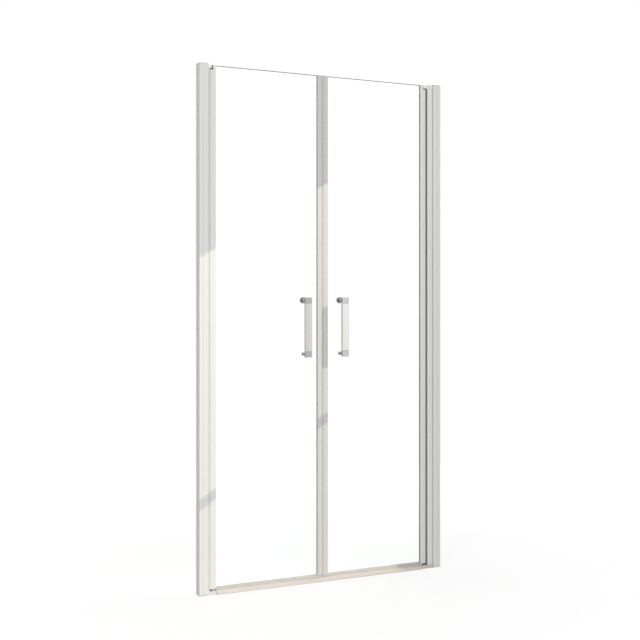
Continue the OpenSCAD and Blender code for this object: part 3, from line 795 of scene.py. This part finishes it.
class DOOR_OT_drip_seals(Operator):
    """Clear drip seals with curved fins under the glass"""

    bl_idname = "shower_door.drip_seals"
    bl_label = "Make Drip Seals"

    def execute(self, context):
        thickness = context.scene.door_fittings.fin
        vinyl = bpy.data.materials["translucent_soft_pvc"]
        # Half the base's width and its thickness, and how far the lips end short of the strip's two ends
        half, base_t = 4.2 * MM, 2 * MM
        hinge_gap, closing_gap = 1.1 * MM, 21.7 * MM
        for side in SIDES:
            node = side + "_drip_seal"
            low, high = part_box(node)
            glass_low, glass_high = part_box(side + "_glass_panel")
            foot = glass_low.z
            base = [(-half, foot - base_t), (half, foot - base_t), (half, foot), (-half, foot)]
            surfaces = [carried(base, low.x, high.x)]
            gaps = (hinge_gap, closing_gap) if side == "left" else (closing_gap, hinge_gap)
            for sign in (-1, 1):
                lip = self.lip(sign, glass_high.y, half, foot, high.z)
                fin = self.fin(sign, half, high.y, foot, low.z, thickness)
                surfaces.append(carried(lip, low.x + gaps[0], high.x - gaps[1]))
                surfaces.append(carried(fin, low.x, high.x))
            piece(side + "_drip_strip", surfaces, vinyl, side + "_leaf", [node])
        return {"FINISHED"}

    @staticmethod
    def lip(sign, inner, outer, foot, top):
        """Section of the lip that grips the glass on one side, its upper edge rounded off in three flats."""
        shoulder, shoulder_drop = 0.2 * MM, 0.3 * MM
        mouth, mouth_drop = 0.05 * MM, 0.2 * MM
        crest = outer - 0.6 * MM
        across = np.array([inner, outer, outer - shoulder, crest, inner + mouth])
        up = [foot, foot, top - shoulder_drop, top, top - mouth_drop]
        return np.stack([sign * across, up], -1)

    @staticmethod
    def fin(sign, wide, reach, foot, tip, thickness):
        """Section of one curved fin, which thins towards its tip.

        Its inner side is a parabola that leaves the base downwards and swings out.
        """
        t = np.linspace(0, 1, FIN_STEPS)
        root, thinning = foot - 1.2 * MM, 0.4
        y = (wide - thickness) + (reach - wide) * t**2
        z = root + (tip - root) * t
        taper = thickness * (1 - thinning * t)
        outer = np.stack([sign * (y + taper), z], -1)
        inner = np.stack([sign * y, z], -1)[::-1]
        return np.concatenate([outer, inner])


class DOOR_OT_handles(Operator):
    """Bar handles with plated end blocks and posts, inside knobs and caps"""

    bl_idname = "shower_door.handles"
    bl_label = "Make Handles"

    def execute(self, context):
        finish, sizes = context.scene.door_finish, context.scene.door_fittings
        chrome = plated("chrome_plated_zinc", finish.chrome, finish.chrome_rough)
        # Darker copy of the chrome plating, as painted shade on the knobs
        dark = plated("plated_zinc_painted_shade", finish.knob, finish.knob_rough)
        satin = satin_brushed()
        steel = bpy.data.materials["turned_stainless_steel"]
        kinds = ("handle_bar", "handle_top_block", "handle_bottom_block", "inner_knob", "handle_screws")
        for side in SIDES:
            body = side + "_leaf"
            bar, top, bottom, knob, screws = (side + "_" + kind for kind in kinds)
            bar_low, bar_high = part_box(bar)
            top_low, top_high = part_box(top)
            bottom_low, bottom_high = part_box(bottom)
            grip_low = (bar_low.x, bar_low.y, bottom_high.z)
            grip_high = (bar_high.x, bar_high.y, top_low.z)
            grip = rounded_block(grip_low, grip_high, sizes.bar_edge)
            piece(side + "_grip_bar", [grip], satin, body, [bar])
            top_middle, bottom_middle = (top_low + top_high) / 2, (bottom_low + bottom_high) / 2
            for node, middle in ((top, top_middle), (bottom, bottom_middle)):
                low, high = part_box(node)
                end = rounded_block(low, (high.x, bar_high.y, high.z), sizes.block_edge)
                post = self.post(middle, bar_high.y, high.y, sizes.post_edge)
                piece(node + "_plated", [end, post], chrome, body, [node])
            low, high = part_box(knob)
            disc = self.knob(low, high, sizes.knob_edge)
            piece(side + "_round_knob", [disc], dark, body, [knob])
            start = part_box(screws)[0].y
            fixings = [self.stud(top_middle, start, high.y), self.capped_screw(bottom_middle, start, sizes)]
            piece(side + "_capped_screws", fixings, steel, body, [screws])
        return {"FINISHED"}

    @staticmethod
    def post(middle, block_face, end, edge):
        """Post of 14 mm from 1 mm inside the block to the washer, its glass end rounded."""
        radius, root = 7 * MM, 1 * MM
        outline = [
            (radius, block_face - root, 0),
            (radius, end - edge, 0),
            *arc(edge, 0, 90, (radius - edge, end - edge)),
        ]
        return turned(outline, (middle.x, 0, middle.z), "Y")

    @staticmethod
    def knob(low, high, edge):
        """Round knob: waisted towards the glass, with a rounded edge and a slightly domed face."""
        radius, depth = (high.x - low.x) / 2, high.y - low.y
        middle = (low + high) / 2
        # Foot as (cut back from the rim, height), and face as (share of the radius, distance below the top)
        foot = ((0.8 * MM, 0), (0.2 * MM, 0.5 * MM), (0, 1.2 * MM))
        face = ((0.6, 0.14 * MM), (0.3, 0.032 * MM), (0.04, 0))
        dome = 0.4 * MM
        outline = [(radius - cut, height, 0) for cut, height in foot]
        outline.extend(arc(edge, 0, 80, (radius - edge, depth - edge - dome)))
        outline.extend((radius * part, depth - drop, 0) for part, drop in face)
        return turned(outline, (middle.x, low.y, middle.z), "Y")

    @staticmethod
    def stud(middle, start, knob_face):
        """Stud of 6 mm from the upper post into the knob, ending 3 mm under the knob's face."""
        radius, cover = 3 * MM, 3 * MM
        return turned([(radius, start, 0), (radius, knob_face - cover, 0)], (middle.x, 0, middle.z), "Y")

    @staticmethod
    def capped_screw(middle, start, sizes):
        """Screw of 6 mm into the lower post, with a round cap of 13.6 mm and a wide socket."""
        shank_r, cap_r, cap_t, cap_foot = 3 * MM, 6.8 * MM, 3 * MM, 4 * MM
        wide_socket = sizes.socket * 1.3
        outline = socket_head(cap_r, cap_t, wide_socket, sizes.post_edge, shank_r, cap_foot - start)
        return turned(outline, (middle.x, cap_foot, middle.z), "Y")


class DOOR_OT_screws(Operator):
    """Screws with hexagon sockets in the brackets and in the wall profiles' slots"""

    bl_idname = "shower_door.screws"
    bl_label = "Make Screws"

    def execute(self, context):
        socket = context.scene.door_fittings.socket
        steel = bpy.data.materials["turned_stainless_steel"]
        low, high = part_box("clamp_screws")
        head_r, head_t, head_edge, shank_r = 4.5 * MM, 2.5 * MM, 1 * MM, 2 * MM
        foot, rows = high.y - head_t, 3
        outline = socket_head(head_r, head_t, socket, head_edge, shank_r, foot - low.y)
        heights = np.linspace(low.z + head_r, high.z - head_r, rows)
        edges = (low.x + head_r, high.x - head_r)
        clamps = [turned(outline, (x, foot, z), "Y") for x in edges for z in heights]
        piece("width_clamp_screws", clamps, steel, "frame", ["clamp_screws"])

        low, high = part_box("bracket_screws")
        shank_r, small_socket = 1.9 * MM, socket * 0.8
        upper_reach, lower_reach = 36 * MM, 38.5 * MM
        upper = flush_head(shank_r, small_socket, upper_reach)
        lower = flush_head(shank_r, small_socket, lower_reach)
        screws = []
        for x in (low.x + 2 * shank_r, high.x - 2 * shank_r):
            for y in (low.y + 2 * shank_r, high.y - 2 * shank_r):
                screws.append(turned(upper, (x, y, high.z), "Z"))
                screws.append(turned(lower, (x, y, low.z), "Z", flip=-1))
        piece("countersunk_bracket_screws", screws, steel, "frame", ["bracket_screws"])
        return {"FINISHED"}


class DOOR_OT_stage(Operator):
    """Pale floor, soft light and the camera"""

    bl_idname = "shower_door.stage"
    bl_label = "Set Up Studio"

    def execute(self, context):
        studio = context.scene.door_studio
        self.floor(studio)
        self.world(context.scene, studio)
        self.lamp(studio)
        self.window(studio)
        camera = placed("camera", bpy.data.cameras.new("camera"))
        camera.data.lens = studio.lens
        camera.data.shift_y = studio.rise
        camera.location = studio.camera_place
        camera.rotation_euler = (math.pi / 2, 0, studio.camera_turn)
        context.scene.camera = camera
        context.scene.view_settings.view_transform = "Standard"
        return {"FINISHED"}

    @staticmethod
    def lamp(studio):
        """Square soft lamp aimed at the middle of the door. Metal mirrors the studio and not the lamp."""
        data = bpy.data.lights.new("soft_front", "AREA")
        data.size, data.energy = LAMP_WIDTH, studio.lamp_power
        made = placed("soft_front", data)
        made.location = LAMP_PLACE
        made.rotation_euler = (Vector(DOOR_MIDDLE) - Vector(LAMP_PLACE)).to_track_quat("-Z", "Y").to_euler()
        made.visible_glossy = made.visible_camera = made.visible_transmission = False

    @staticmethod
    def window(studio):
        """Low light from a window on the right, and the wall round it with one glazing bar.

        The wall is an upright plane whose x grows evenly with y, made of rectangles. It is never seen
        and only holds light back. The light misses the floor.
        """
        data = bpy.data.lights.new("window_light", "SUN")
        data.energy, data.color, data.angle = studio.window_light, studio.window_colour, WINDOW_SOFTNESS
        sun = placed("window_light", data)
        sun.rotation_euler = Vector(WINDOW_DIRECTION).to_track_quat("Z", "Y").to_euler()
        unlit = bpy.data.collections.new("window_light_misses")
        unlit.objects.link(bpy.data.objects["pale_floor"])
        sun.light_linking.receiver_collection = unlit
        unlit.collection_objects[0].light_linking.link_state = "EXCLUDE"
        spans = np.array(WINDOW_WALL)
        corners = np.zeros((len(spans), 4, 3))
        corners[:, :, 1] = spans[:, [0, 1, 1, 0]]
        corners[:, :, 0] = WINDOW_X + WINDOW_SLANT * corners[:, :, 1]
        corners[:, :, 2] = spans[:, [2, 2, 3, 3]]
        faces = np.arange(corners[..., 0].size).reshape(-1, 4).tolist()
        plaster = bpy.data.materials["painted_plaster_floor"]
        wall = meshed("window_wall", corners.reshape(-1, 3).tolist(), faces, plaster)
        for ray in ("camera", "diffuse", "glossy", "transmission", "volume_scatter"):
            setattr(wall, "visible_" + ray, False)

    @staticmethod
    def seen(tree):
        """Two switches, also through glass: the eye looks straight on, and metal or glass mirrors."""
        path = add(tree, "ShaderNodeLightPath").outputs
        through = add(
            tree,
            "ShaderNodeMath",
            {"operation": "MAXIMUM"},
            links={0: path["Is Camera Ray"], 1: path["Is Transmission Ray"]},
        ).outputs[0]
        mirrored = add(
            tree,
            "ShaderNodeMath",
            {"operation": "MINIMUM"},
            {1: 1.0},
            {0: path["Glossy Depth"]},
        ).outputs[0]
        straight = add(
            tree,
            "ShaderNodeMath",
            {"operation": "SUBTRACT", "use_clamp": True},
            links={0: through, 1: mirrored},
        ).outputs[0]
        return straight, mirrored

    @staticmethod
    def white(tree, base=1.0):
        """Strength of the plain white, and behind glass as much more as the glass holds back."""
        glass = add(tree, "ShaderNodeLightPath").outputs["Is Transmission Ray"]
        values = {"To Min": base, "To Max": base + bpy.context.scene.door_studio.glass_loss}
        return add(tree, "ShaderNodeMapRange", values=values, links={"Value": glass}).outputs[0]

    def floor(self, studio):
        """Round floor: a polar grid of evenly spaced rings with a flat hub."""
        radii = np.linspace(FLOOR_HUB, 1, FLOOR_RINGS)[:, None] * studio.floor_radius
        angle = full_turn(2 * ROUND_STEPS)
        x, y = radii * np.cos(angle), radii * np.sin(angle)
        rings = np.stack([x, y, np.full(x.shape, -FLOOR_DROP)], -1)
        faces = grid_faces(FLOOR_RINGS, len(angle)).tolist()
        faces.append(list(range(len(angle)))[::-1])
        made = meshed("pale_floor", rings.reshape(-1, 3).tolist(), faces, self.plaster(studio))
        made.visible_glossy = False

    def plaster(self, studio):
        """Painted plaster of the floor, fading to plain white towards its rim where the eye sees it."""
        material = bpy.data.materials.new("painted_plaster_floor")
        tree = empty_tree(material)
        plaster = add(tree, "ShaderNodeBsdfDiffuse", values={"Color": (*studio.floor, 1)})
        white = add(tree, "ShaderNodeEmission", links={"Strength": self.white(tree, studio.floor_white)})
        place = add(tree, "ShaderNodeTexCoord").outputs["Object"]
        distance = add(tree, "ShaderNodeVectorMath", {"operation": "LENGTH"}, links={0: place})
        fade = add(
            tree,
            "ShaderNodeMapRange",
            {"interpolation_type": "SMOOTHSTEP"},
            {
                "From Min": FADE_START,
                "From Max": studio.floor_radius * FADE_END,
                "To Min": 1 - studio.floor_shade,
                "To Max": 1.0,
            },
            {"Value": distance.outputs["Value"]},
        ).outputs[0]
        looked = self.seen(tree)[0]
        factor = add(tree, "ShaderNodeMath", {"operation": "MULTIPLY"}, links={0: fade, 1: looked}).outputs[0]
        mixed = add(
            tree,
            "ShaderNodeMixShader",
            links={0: factor, 1: plaster.outputs[0], 2: white.outputs[0]},
        )
        add(tree, "ShaderNodeOutputMaterial", links={"Surface": mixed.outputs[0]})
        return material

    def world(self, scene, studio):
        """White to the eye and through glass, even light for the rest, and a toned studio in mirrors."""
        scene.world = bpy.data.worlds.new("studio")
        tree = empty_tree(scene.world)
        direct, glossy = self.seen(tree)
        plain = {"Color": (1, 1, 1, 1)}
        light = add(tree, "ShaderNodeBackground", values={**plain, "Strength": studio.daylight})
        mirror = add(tree, "ShaderNodeBackground", links={"Color": self.studio_tones(tree)})
        white = add(tree, "ShaderNodeBackground", values=plain, links={"Strength": self.white(tree)})
        lit = add(tree, "ShaderNodeMixShader", links={0: glossy, 1: light.outputs[0], 2: mirror.outputs[0]})
        shown = add(tree, "ShaderNodeMixShader", links={0: direct, 1: lit.outputs[0], 2: white.outputs[0]})
        add(tree, "ShaderNodeOutputWorld", links={"Surface": shown.outputs[0]})

    def studio_tones(self, tree):
        """Tone of the studio round the door by direction.

        One ramp round the horizon holds what lies high and one what lies low, mixed by the direction's
        height.
        """
        direction = add(tree, "ShaderNodeTexCoord").outputs["Generated"]
        x, y, z = add(tree, "ShaderNodeSeparateXYZ", links={0: direction}).outputs
        ahead = add(tree, "ShaderNodeMath", {"operation": "MULTIPLY"}, {1: -1.0}, {0: y}).outputs[0]
        angle = add(tree, "ShaderNodeMath", {"operation": "ARCTAN2"}, links={0: x, 1: ahead}).outputs[0]
        turn = add(
            tree,
            "ShaderNodeMapRange",
            values={"From Min": -math.pi, "From Max": math.pi},
            links={"Value": angle},
        ).outputs[0]
        low_share = add(
            tree,
            "ShaderNodeMapRange",
            {"interpolation_type": "SMOOTHSTEP"},
            {"From Min": HIGH_FROM, "From Max": LOW_FROM},
            {"Value": z},
        ).outputs[0]
        high, low = self.ramp(tree, turn, 0), self.ramp(tree, turn, 1)
        mixed = add(
            tree,
            "ShaderNodeMix",
            {"data_type": "RGBA"},
            links={MIX_FACTOR: low_share, MIX_FIRST: high, MIX_SECOND: low},
        )
        return mixed.outputs[MIX_RESULT]

    @staticmethod
    def ramp(tree, source, level):
        """Colour ramp round the horizon from the studio's tones, those up high (0) or down low (1)."""
        made = add(tree, "ShaderNodeValToRGB", links={0: source})
        elements = made.color_ramp.elements
        elements.remove(elements[1])
        for count, (degrees, *codes) in enumerate(STUDIO_TONES):
            place = degrees / 360 + 0.5
            stop = elements[0] if count == 0 else elements.new(place)
            stop.position = place
            stop.color = (*linear(codes[level]), 1)
        return made.outputs[0]


class DOOR_PT_panel(Panel):
    """Lists the door's steps and settings in the sidebar"""

    bl_label = "Shower Door"
    bl_idname = "DOOR_PT_panel"
    bl_space_type = "VIEW_3D"
    bl_region_type = "UI"
    bl_category = "Shower Door"

    def draw(self, context):
        for step in STEPS:
            self.layout.operator(step.bl_idname)
        for group in GROUPS:
            settings = getattr(context.scene, group)
            box = self.layout.box()
            for name in settings.__annotations__:
                box.prop(settings, name)


STEPS = (
    DOOR_OT_metal,
    DOOR_OT_glass,
    DOOR_OT_plastics,
    DOOR_OT_drip_seals,
    DOOR_OT_handles,
    DOOR_OT_screws,
    DOOR_OT_stage,
)
GROUPS = {"door_finish": DoorFinish, "door_fittings": DoorFittings, "door_studio": DoorStudio}


def register():
    """Registers the settings, the steps and the panel."""
    for kind in (*GROUPS.values(), *STEPS, DOOR_PT_panel):
        bpy.utils.register_class(kind)
    for name, kind in GROUPS.items():
        setattr(bpy.types.Scene, name, PointerProperty(type=kind))


def unregister():
    """Takes the panel, the steps and the settings away again."""
    for name in GROUPS:
        delattr(bpy.types.Scene, name)
    for kind in (DOOR_PT_panel, *STEPS[::-1], *GROUPS.values()):
        bpy.utils.unregister_class(kind)


def main():
    """Runs every step in order."""
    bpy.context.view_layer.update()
    register()
    for step in ("metal", "glass", "plastics", "drip_seals", "handles", "screws", "stage"):
        getattr(bpy.ops.shower_door, step)()


if __name__ == "__main__":
    main()
